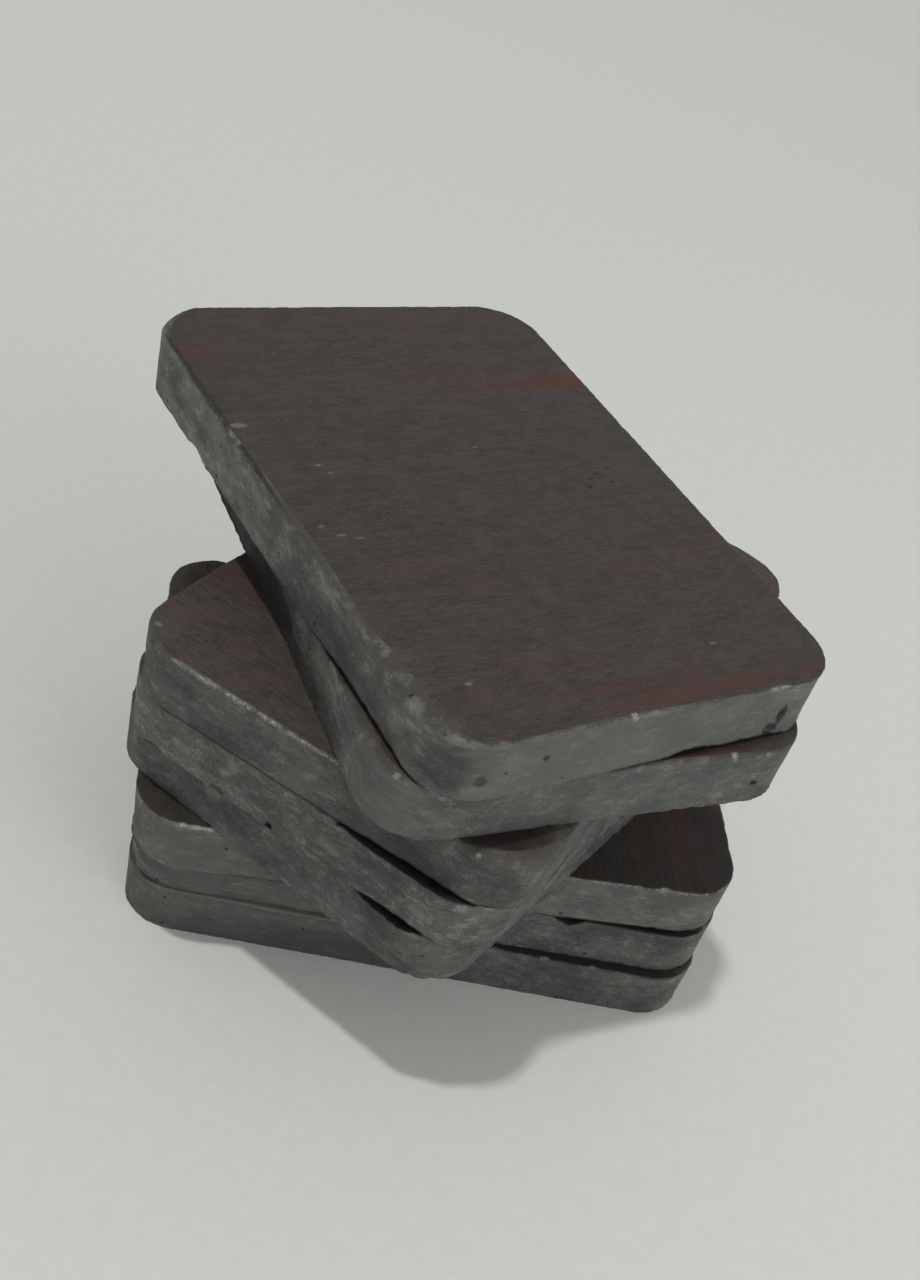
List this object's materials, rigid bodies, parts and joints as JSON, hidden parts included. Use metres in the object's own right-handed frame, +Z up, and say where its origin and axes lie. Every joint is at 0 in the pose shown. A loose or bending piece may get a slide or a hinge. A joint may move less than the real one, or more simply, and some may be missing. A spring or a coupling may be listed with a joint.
{
  "type": "ferrite block magnet stack",
  "caption": "Free-standing stack of flat rectangular ferrite block magnets with ground faces and round corners, each one turned on the block below.",
  "frame": {"origin": "centre of the bottom block's underside, on the surface that the stack stands on", "axes": "+X along the bottom block's long side, +Y along its short side, +Z up through the stack"},
  "size_m": [0.0448, 0.0465, 0.032],
  "materials": {
    "ferrite": "sintered ferrite: ground faces with fine parallel lines and a brown oxide tint, matte grey pressed sides, small chips along the edges"
  },
  "bodies": {
    "block_1": {"block_1": "ferrite"},
    "block_2": {"block_2": "ferrite"},
    "block_3": {"block_3": "ferrite"},
    "block_4": {"block_4": "ferrite"},
    "block_5": {"block_5": "ferrite"},
    "block_6": {"block_6": "ferrite"},
    "block_7": {"block_7": "ferrite"},
    "block_8": {"block_8": "ferrite"}
  },
  "joints": [
    {"name": "turn_2", "type": "hinge", "parent": "block_1", "child": "block_2", "pos_m": [-0.0001, 0.0005, 0.004], "axis": [0, 0, 1], "continuous": true},
    {"name": "turn_3", "type": "hinge", "parent": "block_2", "child": "block_3", "pos_m": [-0.0007, -0.0003, 0.008], "axis": [0, 0, 1], "continuous": true},
    {"name": "turn_4", "type": "hinge", "parent": "block_3", "child": "block_4", "pos_m": [0.00015, -0.0008, 0.012], "axis": [0, 0, 1], "continuous": true},
    {"name": "turn_5", "type": "hinge", "parent": "block_4", "child": "block_5", "pos_m": [0.00015, -0.0014, 0.016], "axis": [0, 0, 1], "continuous": true},
    {"name": "turn_6", "type": "hinge", "parent": "block_5", "child": "block_6", "pos_m": [0.00015, -0.0015, 0.02], "axis": [0, 0, 1], "continuous": true},
    {"name": "turn_7", "type": "hinge", "parent": "block_6", "child": "block_7", "pos_m": [-0.0019, -0.00145, 0.024], "axis": [0, 0, 1], "continuous": true},
    {"name": "turn_8", "type": "hinge", "parent": "block_7", "child": "block_8", "pos_m": [-0.0029, -0.00185, 0.028], "axis": [0, 0, 1], "continuous": true}
  ]
}
